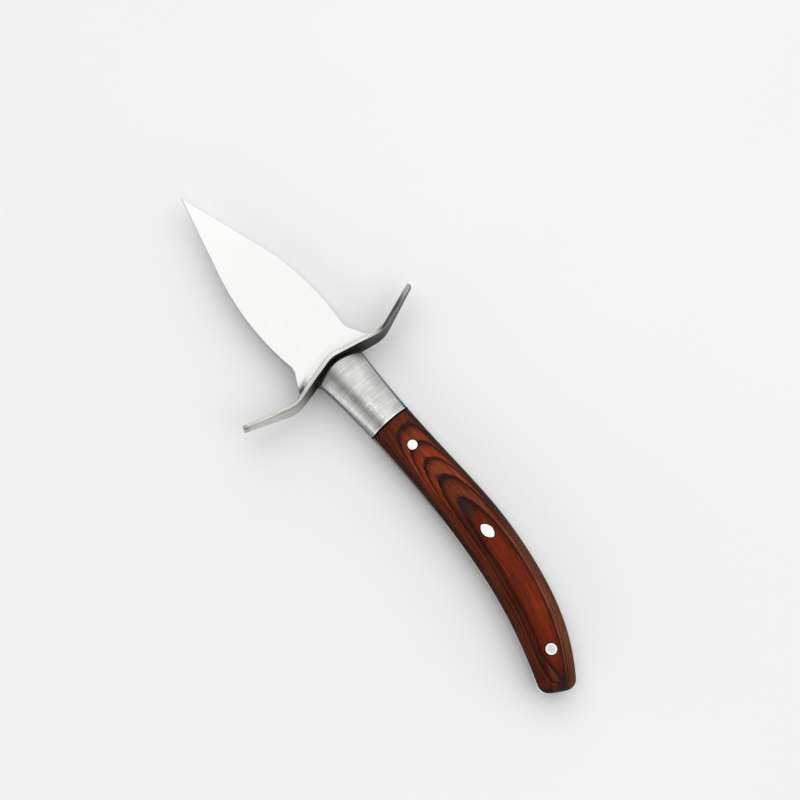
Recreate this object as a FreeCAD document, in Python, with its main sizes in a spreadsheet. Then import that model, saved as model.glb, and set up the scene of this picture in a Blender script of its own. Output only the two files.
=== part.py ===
"""Oyster knife: a full-tang blade, a bent guard, half bolsters, wooden scales and the pins that hold them.

Lengths are in millimetres. X runs along the blade towards its point, Z is square to the blade's flats, and
the handle droops towards +Y. The origin is on the blade's middle plane, at the front of the guard.
"""
import FreeCAD
import Part
import math
import os

import Sketcher

# Driving dimensions: name, value, meaning. Lengths are in millimetres, angles in degrees.
DIMENSIONS = [
    ("blade_length", 62.7, "guard's front to the point"),
    ("blade_width", 20.4, "widest part of the leaf"),
    ("waist_radius", 4.0, "hollow between the leaf and its shoulders"),
    ("flare_angle", 28.0, "slope of the shoulders' front edges"),
    ("blank_thickness", 2.5, "steel blank of blade and tang"),
    ("point_thickness", 1.2, "blade at its point"),
    ("taper_start", 4.5, "guard's front to where the blade starts to thin"),
    ("blade_edge_round", 0.2, "blunt rounded edge of the blade"),
    ("guard_span", 61.6, "guard from tip to tip"),
    ("guard_height", 12.0, "guard strip at its middle"),
    ("guard_tip_height", 4.0, "guard strip at its tips"),
    ("guard_full_width", 18.0, "stretch of the guard at full height"),
    ("guard_crown_round", 15.0, "easing between full height and taper"),
    ("guard_thickness", 1.3, "guard strip"),
    ("guard_arm_angle", 13.6, "inner arms swept back"),
    ("guard_wing_angle", 19.8, "outer wings swept forward"),
    ("guard_apex_radius", 8.0, "bend at the middle of the guard, front face"),
    ("guard_bend_radius", 8.0, "bends between arms and wings, front face"),
    ("guard_bend_span", 30.9, "between the centres of the two outer bends"),
    ("guard_edge_round", 0.3, "rounded edges of the guard strip"),
    ("slot_clearance", 0.1, "guard's slot round the tang, each side"),
    ("handle_length", 109.7, "guard's front to the middle of the butt, along X"),
    ("handle_width", 14.7, "widest part of the scales"),
    ("handle_thickness", 12.0, "thickest part of the handle"),
    ("butt_drop", 14.7, "droop of the handle at the butt"),
    ("butt_angle", 32.0, "tilt of the butt's end"),
    ("butt_round", 3.2, "rounded rim of the butt"),
    ("bolster_length", 24.4, "guard's front to the end of the bolsters"),
    ("bolster_gap", 0.9, "between the guard's back and the bolsters, on the axis"),
    ("bolster_round", 0.8, "rounded front end of the bolsters"),
    ("joint_gap", 0.35, "between the bolsters and the scales"),
    ("dowel_diameter", 3.0, "hidden bolster pins"),
    ("dowel_length", 6.4, "hidden bolster pins"),
    ("dowel_clearance", 0.05, "bolster pins in their holes, all round"),
    ("front_pin_setback", 9.4, "end of the bolsters to the front pin"),
    ("front_pin_diameter", 2.75, "front handle pin"),
    ("middle_pin_diameter", 2.6, "shank of the middle handle pin"),
    ("middle_head_length", 4.7, "peened head of the middle pin, along the handle"),
    ("middle_head_width", 3.0, "peened head of the middle pin, across the handle"),
    ("middle_head_depth", 1.2, "peened head of the middle pin, into the wood"),
    ("middle_head_angle", -5.0, "turn of the peened head, away from the droop"),
    ("rear_pin_setback", 10.0, "middle of the butt to the rear pin, along X"),
    ("rear_pin_diameter", 3.1, "rear handle pin"),
    ("pin_clearance", 0.12, "handle pins in their holes, all round"),
    ("overrun", 6.0, "cuts and blocks run past what they cut"),
]

# Sections of the handle: shares of its length, its droop at the butt, its width and its thickness,
# and the rounding of the section's sides as a share of its own thickness.
SECTION_SHARES = [
    (-0.02, -0.030, 1.20, 0.72, 0.25),
    (0.11, -0.034, 0.95, 0.72, 0.25),
    (0.221, -0.028, 0.89, 0.75, 0.26),
    (0.40, -0.012, 0.90, 0.92, 0.31),
    (0.558, 0.040, 0.977, 1.0, 0.35),
    (0.702, 0.187, 1.0, 0.99, 0.375),
    (0.827, 0.422, 1.0, 0.93, 0.375),
    (0.937, 0.755, 0.923, 0.84, 0.375),
    (1.056, 1.286, 0.60, 0.66, 0.375),
]
# Curve of the bolsters' front end and reach of the cut that makes it, of the handle's width.
NOSE_CURVE_SHARE = 1.10
NOSE_REACH_SHARE = 0.735
# Widest part of the leaf, of the blade's length, and its curve, of the arc that would end at the point.
BELLY_SHARE = 0.255
BELLY_CURVE_SHARE = 0.714
# Shoulders of the blade, of the guard's stretch between its bends.
SHOULDER_SHARE = 0.85
# Neck that passes through the guard, of the handle's width.
NECK_SHARE = 0.995
# Places of the pins, of the bolsters' length, the handle's length and its droop.
FRONT_DOWEL_SHARE = 0.40
REAR_DOWEL_SHARE = 0.76
FRONT_PIN_DROP_SHARE = -0.024
MIDDLE_PIN_SHARE = 0.592
MIDDLE_PIN_DROP_SHARE = 0.04
REAR_PIN_DROP_SHARE = 0.637

doc = FreeCAD.newDocument("oyster_knife")
sheet = doc.addObject("Spreadsheet::Sheet", "size")
for row, (name, value, meaning) in enumerate(DIMENSIONS, start=1):
    sheet.set(f"A{row}", name)
    sheet.set(f"B{row}", str(value))
    sheet.set(f"C{row}", meaning)
    sheet.setAlias(f"B{row}", name)
doc.recompute()


def value_of(expression):
    """The number that an expression on the sheet gives now."""
    return float(sheet.evalExpression(expression))


def origin_plane(body, role):
    """One of the body's own origin planes."""
    return next(plane for plane in body.Origin.OriginFeatures if plane.Role == role)


def new_sketch(body, name, role):
    """A sketch on one of the body's origin planes."""
    sketch = body.newObject("Sketcher::SketchObject", name)
    sketch.AttachmentSupport = [(origin_plane(body, role), "")]
    sketch.MapMode = "FlatFace"
    return sketch


def add_line(sketch, start, end):
    """A straight edge between two points."""
    return sketch.addGeometry(Part.LineSegment(FreeCAD.Vector(*start, 0), FreeCAD.Vector(*end, 0)), False)


def add_arc(sketch, centre, radius, start, end):
    """A round edge drawn counterclockwise between two angles in radians."""
    circle = Part.Circle(FreeCAD.Vector(*centre, 0), FreeCAD.Vector(0, 0, 1), radius)
    return sketch.addGeometry(Part.ArcOfCircle(circle, start, end), False)


def constrain(sketch, *rows):
    """Geometric constraints, each a kind and what it holds."""
    for kind, *references in rows:
        sketch.addConstraint(Sketcher.Constraint(kind, *references))


def dimension(sketch, name, expression, kind, *references):
    """A named dimension, bound to the sheet; angles are in degrees."""
    start = value_of(expression)
    if kind == "Angle":
        start = math.radians(start)
    index = sketch.addConstraint(Sketcher.Constraint(kind, *references, start))
    sketch.renameConstraint(index, name)
    sketch.setExpression(f"Constraints.{name}", expression)


def place_point(sketch, name, along, across, geometry, end):
    """Hold one end of an edge at two distances from the sketch's origin."""
    dimension(sketch, f"{name}_along", along, "DistanceX", -1, 1, geometry, end)
    dimension(sketch, f"{name}_across", across, "DistanceY", -1, 1, geometry, end)


def add_polygon(sketch, corners):
    """A closed outline through corners, each a name and its two expressions."""
    points = [(value_of(along), value_of(across)) for _, along, across in corners]
    nexts = points[1:] + points[:1]
    lines = [add_line(sketch, point, following) for point, following in zip(points, nexts)]
    for line, following in zip(lines, lines[1:] + lines[:1]):
        constrain(sketch, ("Coincident", line, 2, following, 1))
    for line, (name, along, across) in zip(lines, corners):
        place_point(sketch, name, along, across, line, 1)


def pad(body, sketch, name, expression):
    """Material on both sides of a sketch."""
    feature = body.newObject("PartDesign::Pad", name)
    feature.Profile = sketch
    feature.SideType = "Symmetric"
    feature.setExpression("Length", expression)
    doc.recompute()
    return feature


def pocket(body, sketch, name):
    """A cut right through on both sides of a sketch."""
    before = body.Shape.Volume
    feature = body.newObject("PartDesign::Pocket", name)
    feature.Profile = sketch
    feature.SideType = "Symmetric"
    feature.Type = "ThroughAll"
    doc.recompute()
    if not feature.Shape.Volume < before:
        raise RuntimeError(f"{name} cuts nothing")
    return feature


def mirror(body, name, role, originals=()):
    """Twins of the given features, or of the whole body, across one of its origin planes."""
    feature = body.newObject("PartDesign::Mirrored", name)
    if originals:
        feature.Originals = list(originals)
    else:
        feature.TransformMode = "Whole shape"
    feature.MirrorPlane = (origin_plane(body, role), [""])
    body.Tip = feature
    doc.recompute()
    return feature


def round_edges(body, name, expression, wanted):
    """A rounding on the body's edges that a test picks."""
    base = body.Tip
    edges = [f"Edge{index}" for index, edge in enumerate(base.Shape.Edges, start=1) if wanted(edge)]
    feature = body.newObject("PartDesign::Fillet", name)
    feature.Base = (base, edges)
    feature.setExpression("Radius", expression)
    doc.recompute()
    return feature


def sub_part(kind, label, **links):
    """A document object that is a sub-part or a step towards one."""
    feature = doc.addObject(kind, label)
    feature.Label = label
    for name, target in links.items():
        setattr(feature, name, target)
    return feature


def block(label, low, high):
    """A box between two corners, each three expressions."""
    box = sub_part("Part::Box", label)
    for axis, side, start, end in zip("xyz", ("Length", "Width", "Height"), low, high):
        box.setExpression(side, f"{end} - ({start})")
        box.setExpression(f"Placement.Base.{axis}", start)
    return box


def upright(label, radius, low, high, along, across):
    """A cylinder along Z between two heights."""
    cylinder = sub_part("Part::Cylinder", label)
    cylinder.setExpression("Radius", radius)
    cylinder.setExpression("Height", f"{high} - ({low})")
    cylinder.setExpression("Placement.Base.x", along)
    cylinder.setExpression("Placement.Base.y", across)
    cylinder.setExpression("Placement.Base.z", low)
    return cylinder


# Tells edges that meet a place from those that pass it by.
EDGE_REACH = 0.01

# Shared expressions
BELLY_STATION = f"size.blade_length * {BELLY_SHARE}"
POINT_REACH = f"(size.blade_length - {BELLY_STATION})"
BELLY_RADIUS = (
    f"{BELLY_CURVE_SHARE} * ({POINT_REACH} ^ 2 + (size.blade_width / 2) ^ 2) / size.blade_width"
)
BELLY_ACROSS = f"size.blade_width / 2 - {BELLY_RADIUS}"
HALF_BLANK = "size.blank_thickness / 2"
ABOVE = "(size.handle_thickness / 2 + size.overrun)"
NECK_HALF = f"size.handle_width / 2 * {NECK_SHARE}"
SHOULDER_HALF = f"size.guard_bend_span / 2 * {SHOULDER_SHARE}"
NECK_END = "-(size.guard_thickness * 2 + size.bolster_gap + size.bolster_round)"


def behind_guard(depth, across):
    """Place along X of an arm's face, so deep behind its front face, at a distance from the axis."""
    lean = "cos(size.guard_arm_angle * 1 deg)"
    apex = f"((size.guard_apex_radius - {depth}) / {lean} - size.guard_apex_radius)"
    return f"({apex} - ({across}) * tan(size.guard_arm_angle * 1 deg))"


# Blade leaf, its shoulders and the neck that passes through the guard: one half, then its twin
leaf = doc.addObject("PartDesign::Body", "leaf")


def leaf_outline():
    """Half of the blade's outline, from its point round to its axis."""
    sketch = new_sketch(leaf, "leaf_outline", "XY_Plane")
    length = value_of("size.blade_length")
    belly_radius = value_of(BELLY_RADIUS)
    waist_radius = value_of("size.waist_radius")
    flare = math.radians(value_of("size.flare_angle"))
    belly = FreeCAD.Vector(value_of(BELLY_STATION), value_of(BELLY_ACROSS), 0)
    shoulder = FreeCAD.Vector(value_of(behind_guard("0", SHOULDER_HALF)), value_of(SHOULDER_HALF), 0)
    neck = (value_of(behind_guard("0", NECK_HALF)), value_of(NECK_HALF))
    neck_end = value_of(NECK_END)
    reach = FreeCAD.Vector(length, 0, 0) - belly
    touch = math.atan2(reach.y, reach.x) + math.acos(belly_radius / reach.Length)
    point_end = (belly.x + belly_radius * math.cos(touch), belly.y + belly_radius * math.sin(touch))
    outward = FreeCAD.Vector(math.sin(flare), math.cos(flare), 0)
    forward = FreeCAD.Vector(math.cos(flare), -math.sin(flare), 0)
    start = shoulder + outward * waist_radius - belly
    run = -start.dot(forward)
    room = (belly_radius + waist_radius) ** 2 - start.Length ** 2
    waist = belly + start + forward * (run - math.sqrt(run ** 2 + room))
    waist_end = waist - outward * waist_radius
    across = math.atan2(waist.y - belly.y, waist.x - belly.x)

    point = add_line(sketch, (length, 0), point_end)
    side = add_arc(sketch, (belly.x, belly.y), belly_radius, touch, across)
    hollow = add_arc(sketch, (waist.x, waist.y), waist_radius, 1.5 * math.pi - flare, math.pi + across)
    slope = add_line(sketch, (waist_end.x, waist_end.y), (shoulder.x, shoulder.y))
    seat = add_line(sketch, (shoulder.x, shoulder.y), neck)
    edge = add_line(sketch, neck, (neck_end, neck[1]))
    back = add_line(sketch, (neck_end, neck[1]), (neck_end, 0))
    axis = add_line(sketch, (neck_end, 0), (length, 0))
    constrain(
        sketch,
        ("Tangent", point, 2, side, 1),
        ("Tangent", side, 2, hollow, 2),
        ("Tangent", hollow, 1, slope, 1),
        ("Coincident", slope, 2, seat, 1),
        ("Coincident", seat, 2, edge, 1),
        ("Coincident", edge, 2, back, 1),
        ("Coincident", back, 2, axis, 1),
        ("Coincident", axis, 2, point, 1),
        ("Horizontal", edge),
        ("Vertical", back),
        ("Horizontal", axis),
        ("PointOnObject", point, 1, -1),
    )
    dimension(sketch, "blade_length", "size.blade_length", "DistanceX", -1, 1, point, 1)
    dimension(sketch, "belly_radius", BELLY_RADIUS, "Radius", side)
    dimension(sketch, "waist_radius", "size.waist_radius", "Radius", hollow)
    dimension(sketch, "flare_angle", "180 - size.flare_angle", "Angle", slope)
    place_point(sketch, "belly", BELLY_STATION, BELLY_ACROSS, side, 3)
    place_point(sketch, "shoulder", behind_guard("0", SHOULDER_HALF), SHOULDER_HALF, slope, 2)
    place_point(sketch, "neck", behind_guard("0", NECK_HALF), NECK_HALF, seat, 2)
    dimension(sketch, "neck_end", NECK_END, "DistanceX", -1, 1, back, 1)
    return sketch


pad(leaf, leaf_outline(), "leaf_pad", "size.blank_thickness")
taper_side = new_sketch(leaf, "taper_side", "XZ_Plane")
add_polygon(taper_side, [
    ("start", "size.taper_start", HALF_BLANK),
    ("point", "size.blade_length", "size.point_thickness / 2"),
    ("past", "size.blade_length + size.overrun", "size.point_thickness / 2"),
    ("far", "size.blade_length + size.overrun", f"{HALF_BLANK} + size.overrun"),
    ("over", "size.taper_start", f"{HALF_BLANK} + size.overrun"),
])
upper_taper = pocket(leaf, taper_side, "upper_taper")
mirror(leaf, "lower_taper", "XY_Plane", [upper_taper])


def is_leaf_edge(edge):
    """Long edges of the leaf's flats, from its point to its shoulders, and not those on the axis."""
    box = edge.BoundBox
    lies_flat = box.ZMin > 0 or box.ZMax < 0
    on_side = box.YMax > value_of("size.blank_thickness") and box.XLength > box.YLength
    return lies_flat and on_side and box.XMax > 0


round_edges(leaf, "leaf_edges", "size.blade_edge_round", is_leaf_edge)
mirror(leaf, "leaf_twin", "XZ_Plane")

# Guard: half of the bent strip with its taper and slot, then its twin
guard = doc.addObject("PartDesign::Body", "guard")


def guard_plan():
    """Half of the bent strip seen from above, from its middle out to one tip and back."""
    sketch = new_sketch(guard, "guard_plan", "XY_Plane")
    arm = math.radians(value_of("size.guard_arm_angle"))
    wing = math.radians(value_of("size.guard_wing_angle"))
    thickness = value_of("size.guard_thickness")
    apex_radius = value_of("size.guard_apex_radius")
    bend_radius = value_of("size.guard_bend_radius")
    apex = FreeCAD.Vector(-apex_radius, 0, 0)
    arm_face = FreeCAD.Vector(math.cos(arm), math.sin(arm), 0)
    arm_run = FreeCAD.Vector(-math.sin(arm), math.cos(arm), 0)
    wing_face = FreeCAD.Vector(math.cos(wing), -math.sin(wing), 0)
    wing_run = FreeCAD.Vector(math.sin(wing), math.cos(wing), 0)
    bend = apex + arm_face * (apex_radius + bend_radius)
    bend += arm_run * ((value_of("size.guard_bend_span / 2") - bend.y) / arm_run.y)
    back_wing = bend - wing_face * (bend_radius + thickness)
    tip_run = (value_of("size.guard_span / 2") - back_wing.y) / wing_run.y

    def outline(depth):
        """Centre arc's end, bend's start, bend's end and tip of a face so deep behind the front."""
        wing_start = bend - wing_face * (bend_radius + depth)
        corners = (
            apex + arm_face * (apex_radius - depth),
            bend - arm_face * (bend_radius + depth),
            wing_start,
            wing_start + wing_run * tip_run,
        )
        return [(corner.x, corner.y) for corner in corners]

    front = outline(0)
    rear = outline(thickness)
    centre = (apex.x, apex.y)
    pivot = (bend.x, bend.y)
    turn = (math.pi - wing, math.pi + arm)
    front_apex = add_arc(sketch, centre, apex_radius, 0, arm)
    front_arm = add_line(sketch, front[0], front[1])
    front_bend = add_arc(sketch, pivot, bend_radius, *turn)
    front_wing = add_line(sketch, front[2], front[3])
    tip = add_line(sketch, front[3], rear[3])
    rear_wing = add_line(sketch, rear[3], rear[2])
    rear_bend = add_arc(sketch, pivot, bend_radius + thickness, *turn)
    rear_arm = add_line(sketch, rear[1], rear[0])
    rear_apex = add_arc(sketch, centre, apex_radius - thickness, 0, arm)
    middle = add_line(sketch, (-thickness, 0), (0, 0))
    constrain(
        sketch,
        ("Coincident", front_apex, 1, -1, 1),
        ("PointOnObject", front_apex, 3, -1),
        ("Tangent", front_apex, 2, front_arm, 1),
        ("Tangent", front_arm, 2, front_bend, 2),
        ("Tangent", front_bend, 1, front_wing, 1),
        ("Coincident", front_wing, 2, tip, 1),
        ("Perpendicular", front_wing, tip),
        ("Coincident", tip, 2, rear_wing, 1),
        ("Tangent", rear_wing, 2, rear_bend, 1),
        ("Coincident", rear_bend, 3, front_bend, 3),
        ("Tangent", rear_bend, 2, rear_arm, 1),
        ("Tangent", rear_arm, 2, rear_apex, 2),
        ("Coincident", rear_apex, 3, front_apex, 3),
        ("PointOnObject", rear_apex, 1, -1),
        ("Coincident", rear_apex, 1, middle, 1),
        ("Coincident", middle, 2, front_apex, 1),
        ("Parallel", front_wing, rear_wing),
        ("Equal", tip, middle),
    )
    dimension(sketch, "apex_radius", "size.guard_apex_radius", "Radius", front_apex)
    dimension(sketch, "bend_radius", "size.guard_bend_radius", "Radius", front_bend)
    dimension(sketch, "thickness", "size.guard_thickness", "DistanceX", middle, 1, middle, 2)
    dimension(sketch, "arm_angle", "90 + size.guard_arm_angle", "Angle", front_arm)
    dimension(sketch, "wing_angle", "90 - size.guard_wing_angle", "Angle", front_wing)
    dimension(sketch, "bend_place", "size.guard_bend_span / 2", "DistanceY", -1, 1, front_bend, 3)
    dimension(sketch, "span", "size.guard_span / 2", "DistanceY", -1, 1, rear_wing, 1)
    return sketch


pad(guard, guard_plan(), "guard_strip", "size.guard_height")
guard_face = new_sketch(guard, "guard_face", "YZ_Plane")
add_polygon(guard_face, [
    ("start", "size.guard_full_width / 2", "size.guard_height / 2"),
    ("tip", "size.guard_span / 2", "size.guard_tip_height / 2"),
    ("past", "size.guard_span / 2 + size.overrun", "size.guard_tip_height / 2"),
    ("far", "size.guard_span / 2 + size.overrun", "size.guard_height / 2 + size.overrun"),
    ("over", "size.guard_full_width / 2", "size.guard_height / 2 + size.overrun"),
])
guard_taper = pocket(guard, guard_face, "guard_taper")
mirror(guard, "lower_guard_taper", "XY_Plane", [guard_taper])


def is_crown_edge(edge):
    """Short edges across the strip, where its full height ends."""
    box = edge.BoundBox
    crosses = abs(box.YMax - value_of("size.guard_full_width / 2")) < EDGE_REACH
    return crosses and box.YLength < EDGE_REACH and box.ZLength < EDGE_REACH


def is_strip_edge(edge):
    """Long edges of the strip and all edges of its tip, but not the seams between its bends."""
    box = edge.BoundBox
    on_tip = box.YMin > value_of("size.guard_span / 2 - size.guard_thickness")
    is_long = box.YMax > EDGE_REACH and box.YLength > EDGE_REACH
    off_axis = min(abs(box.ZMin), abs(box.ZMax)) > EDGE_REACH
    return on_tip or (is_long and off_axis)


round_edges(guard, "guard_crown", "size.guard_crown_round", is_crown_edge)
round_edges(guard, "guard_edges", "size.guard_edge_round", is_strip_edge)
slot_face = new_sketch(guard, "slot_face", "YZ_Plane")
slot_half = f"{NECK_HALF} + size.slot_clearance"
slot_rise = f"{HALF_BLANK} + size.slot_clearance"
add_polygon(slot_face, [
    ("low_inner", "-size.overrun", f"-({slot_rise})"),
    ("low_outer", slot_half, f"-({slot_rise})"),
    ("high_outer", slot_half, slot_rise),
    ("high_inner", "-size.overrun", slot_rise),
])
pocket(guard, slot_face, "tang_slot")
mirror(guard, "guard_twin", "XZ_Plane")

# Handle form: the outer shape that tang, bolsters, scales and pins share
handle = doc.addObject("PartDesign::Body", "handle_form")


def handle_section(number, along, drop, width, thickness, side):
    """An oval across the handle: four arcs, each running into the next."""
    sketch = new_sketch(handle, f"section_{number}", "YZ_Plane")
    sketch.setExpression("AttachmentOffset.Base.z", f"-size.handle_length * {along}")
    middle = f"size.butt_drop * {drop}"
    half_width = f"size.handle_width / 2 * {width}"
    rise = f"(size.handle_thickness / 2 * {thickness})"
    side_round = f"(size.handle_thickness * {thickness} * {side})"
    reach = f"({half_width} - {side_round})"
    crown = f"({reach} ^ 2 + {rise} ^ 2 - {side_round} ^ 2) / (2 * ({rise} - {side_round}))"
    centre, offset, radius = value_of(middle), value_of(reach), value_of(crown)
    drop_below = radius - value_of(rise)
    lean = math.atan2(drop_below, offset)
    near = add_arc(sketch, (centre + offset, 0), value_of(side_round), -lean, lean)
    top = add_arc(sketch, (centre, -drop_below), radius, lean, math.pi - lean)
    far = add_arc(sketch, (centre - offset, 0), value_of(side_round), math.pi - lean, math.pi + lean)
    under = add_arc(sketch, (centre, drop_below), radius, math.pi + lean, 2 * math.pi - lean)
    constrain(
        sketch,
        ("Tangent", near, 2, top, 1),
        ("Tangent", top, 2, far, 1),
        ("Tangent", far, 2, under, 1),
        ("Tangent", under, 2, near, 1),
        ("PointOnObject", near, 3, -1),
        ("PointOnObject", far, 3, -1),
        ("Equal", near, far),
        ("Equal", top, under),
    )
    dimension(sketch, "side_round", side_round, "Radius", near)
    dimension(sketch, "crown", crown, "Radius", top)
    dimension(sketch, "near_side", f"{middle} + {reach}", "DistanceX", -1, 1, near, 3)
    dimension(sketch, "far_side", f"{middle} - {reach}", "DistanceX", -1, 1, far, 3)
    return sketch


def nose_cut():
    """All that lies in front of the bolsters: their end is a flat dome behind the guard."""
    sketch = new_sketch(handle, "nose_cut", "XY_Plane")
    nose_radius = f"size.handle_width * {NOSE_CURVE_SHARE}"
    nose_middle = f"-(size.guard_thickness + size.bolster_gap + {nose_radius})"
    nose_reach = f"size.handle_width * {NOSE_REACH_SHARE}"
    radius = value_of(nose_radius)
    middle = value_of(nose_middle)
    reach = value_of(nose_reach)
    front = value_of("size.overrun")
    turn = math.asin(reach / radius)
    end = middle + radius * math.cos(turn)
    dome = add_arc(sketch, (middle, 0), radius, -turn, turn)
    left = add_line(sketch, (end, reach), (front, reach))
    across = add_line(sketch, (front, reach), (front, -reach))
    right = add_line(sketch, (front, -reach), (end, -reach))
    constrain(
        sketch,
        ("PointOnObject", dome, 3, -1),
        ("Coincident", dome, 2, left, 1),
        ("Coincident", left, 2, across, 1),
        ("Coincident", across, 2, right, 1),
        ("Coincident", right, 2, dome, 1),
        ("Horizontal", left),
        ("Vertical", across),
        ("Horizontal", right),
    )
    dimension(sketch, "nose_radius", nose_radius, "Radius", dome)
    dimension(sketch, "nose_middle", nose_middle, "DistanceX", -1, 1, dome, 3)
    dimension(sketch, "left_reach", nose_reach, "DistanceY", -1, 1, left, 1)
    dimension(sketch, "right_reach", f"-{nose_reach}", "DistanceY", -1, 1, right, 1)
    dimension(sketch, "front", "size.overrun", "DistanceX", -1, 1, across, 1)
    return sketch


def butt_cut():
    """All that lies behind the butt's flat end, which is square to the handle's curve."""
    sketch = new_sketch(handle, "butt_cut", "XY_Plane")
    lean_along = "size.handle_width * sin(size.butt_angle * 1 deg)"
    lean_across = "size.handle_width * cos(size.butt_angle * 1 deg)"
    corners = []
    for name, side, back in (("right", -1, 0), ("left", 1, 0), ("left_back", 1, 1), ("right_back", -1, 1)):
        along = f"-size.handle_length + {lean_along} * {side} - {lean_across} * {back}"
        across = f"size.butt_drop + {lean_across} * {side} + {lean_along} * {back}"
        corners.append((name, along, across))
    add_polygon(sketch, corners)
    return sketch


sections = [handle_section(number, *shares) for number, shares in enumerate(SECTION_SHARES, start=1)]
loft = handle.newObject("PartDesign::AdditiveLoft", "handle_loft")
loft.Profile = sections[0]
loft.Sections = sections[1:]
doc.recompute()
pocket(handle, nose_cut(), "nose")
pocket(handle, butt_cut(), "butt")


def is_butt_rim(edge):
    """Edges in the plane of the butt's end."""
    middle = FreeCAD.Vector(-value_of("size.handle_length"), value_of("size.butt_drop"), 0)
    lean = math.radians(value_of("size.butt_angle"))
    backward = FreeCAD.Vector(-math.cos(lean), math.sin(lean), 0)
    return all(abs((vertex.Point - middle).dot(backward)) < EDGE_REACH for vertex in edge.Vertexes)


def is_nose_rim(edge):
    """Edges round the bolsters' front end, but not the upright seams on it."""
    box = edge.BoundBox
    return box.XMin > value_of("-size.bolster_length / 2") and max(box.XLength, box.YLength) > EDGE_REACH


round_edges(handle, "butt_rim", "size.butt_round", is_butt_rim)
round_edges(handle, "nose_rim", "size.bolster_round", is_nose_rim)

# Blocks that divide the handle form along X and across Z
BACK = "-(size.handle_length + size.handle_width)"
RIGHT = "-(size.handle_width + size.butt_drop)"
LEFT = "(size.handle_width + size.butt_drop)"
JOINT = "-size.bolster_length"
slab = block("tang_slab", (BACK, RIGHT, f"-{HALF_BLANK}"), ("size.overrun", LEFT, HALF_BLANK))
bolster_block = block("bolster_block", (JOINT, RIGHT, HALF_BLANK), ("size.overrun", LEFT, ABOVE))
scale_block = block("scale_block", (BACK, RIGHT, HALF_BLANK), (f"{JOINT} - size.joint_gap", LEFT, ABOVE))

# Pins: place along X and across Y
FRONT_PIN = (f"{JOINT} - size.front_pin_setback", f"size.butt_drop * {FRONT_PIN_DROP_SHARE}")
MIDDLE_PIN = (f"-size.handle_length * {MIDDLE_PIN_SHARE}", f"size.butt_drop * {MIDDLE_PIN_DROP_SHARE}")
REAR_PIN = ("size.rear_pin_setback - size.handle_length", f"size.butt_drop * {REAR_PIN_DROP_SHARE}")
FRONT_DOWEL = (f"{JOINT} * {FRONT_DOWEL_SHARE}", "0")
REAR_DOWEL = (f"{JOINT} * {REAR_DOWEL_SHARE}", "0")
HEAD_FLOOR = "size.handle_thickness / 2 - size.middle_head_depth"


def rod(label, pin, place, clearance="0"):
    """A handle pin's straight rod, or its hole, from below the handle to above it."""
    radius = f"size.{pin}_diameter / 2 + {clearance}"
    return upright(label, radius, f"-{ABOVE}", ABOVE, *place)


def peened_head(label, clearance="0"):
    """The lemon-shaped head of the middle pin, or its recess: what two round rods share."""
    curve = "(size.middle_head_length ^ 2 + size.middle_head_width ^ 2) / (4 * size.middle_head_width)"
    offset = f"({curve} - size.middle_head_width / 2)"
    sides = []
    for name, sign in (("near", 1), ("far", -1)):
        along = f"{MIDDLE_PIN[0]} + {offset} * sin(size.middle_head_angle * 1 deg) * {sign}"
        across = f"{MIDDLE_PIN[1]} + {offset} * cos(size.middle_head_angle * 1 deg) * {sign}"
        radius = f"{curve} + {clearance}"
        sides.append(upright(f"{label}_{name}", radius, f"{HEAD_FLOOR} - {clearance}", ABOVE, along, across))
    return sub_part("Part::Common", label, Base=sides[0], Tool=sides[1])


def below(label, source):
    """The twin of a solid under the tang's middle plane."""
    return sub_part("Part::Mirroring", label, Source=source, Normal=FreeCAD.Vector(0, 0, 1))


def dowel(label, place, clearance="0"):
    """A hidden bolster pin, or its blind hole, centred on the tang."""
    reach = f"(size.dowel_length / 2 + {clearance})"
    return upright(label, f"size.dowel_diameter / 2 + {clearance}", f"-{reach}", reach, *place)


DOWEL_ROOM = "size.dowel_clearance"
PIN_ROOM = "size.pin_clearance"
dowel_holes = sub_part("Part::MultiFuse", "dowel_holes", Shapes=[
    dowel("front_dowel_hole", FRONT_DOWEL, DOWEL_ROOM),
    dowel("rear_dowel_hole", REAR_DOWEL, DOWEL_ROOM),
])
pin_holes = sub_part("Part::MultiFuse", "pin_holes", Shapes=[
    rod("front_pin_hole", "front_pin", FRONT_PIN, PIN_ROOM),
    rod("middle_pin_hole", "middle_pin", MIDDLE_PIN, PIN_ROOM),
    rod("rear_pin_hole", "rear_pin", REAR_PIN, PIN_ROOM),
])
head_recess = peened_head("head_recess", PIN_ROOM)
scale_holes = sub_part("Part::Fuse", "scale_holes", Base=pin_holes, Tool=head_recess)
tang_holes = sub_part("Part::Fuse", "tang_holes", Base=pin_holes, Tool=dowel_holes)

tang = sub_part("Part::Common", "tang", Base=handle, Tool=slab)
blank = sub_part("Part::Fuse", "blank", Base=leaf, Tool=tang, Refine=True)
blade = sub_part("Part::Cut", "blade", Base=blank, Tool=tang_holes)

bolster_form = sub_part("Part::Common", "bolster_form", Base=handle, Tool=bolster_block)
upper_bolster = sub_part("Part::Cut", "upper_bolster", Base=bolster_form, Tool=dowel_holes)
lower_bolster = below("lower_bolster", upper_bolster)

scale_form = sub_part("Part::Common", "scale_form", Base=handle, Tool=scale_block)
upper_scale = sub_part("Part::Cut", "upper_scale", Base=scale_form, Tool=scale_holes)
lower_scale = below("lower_scale", upper_scale)

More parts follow.
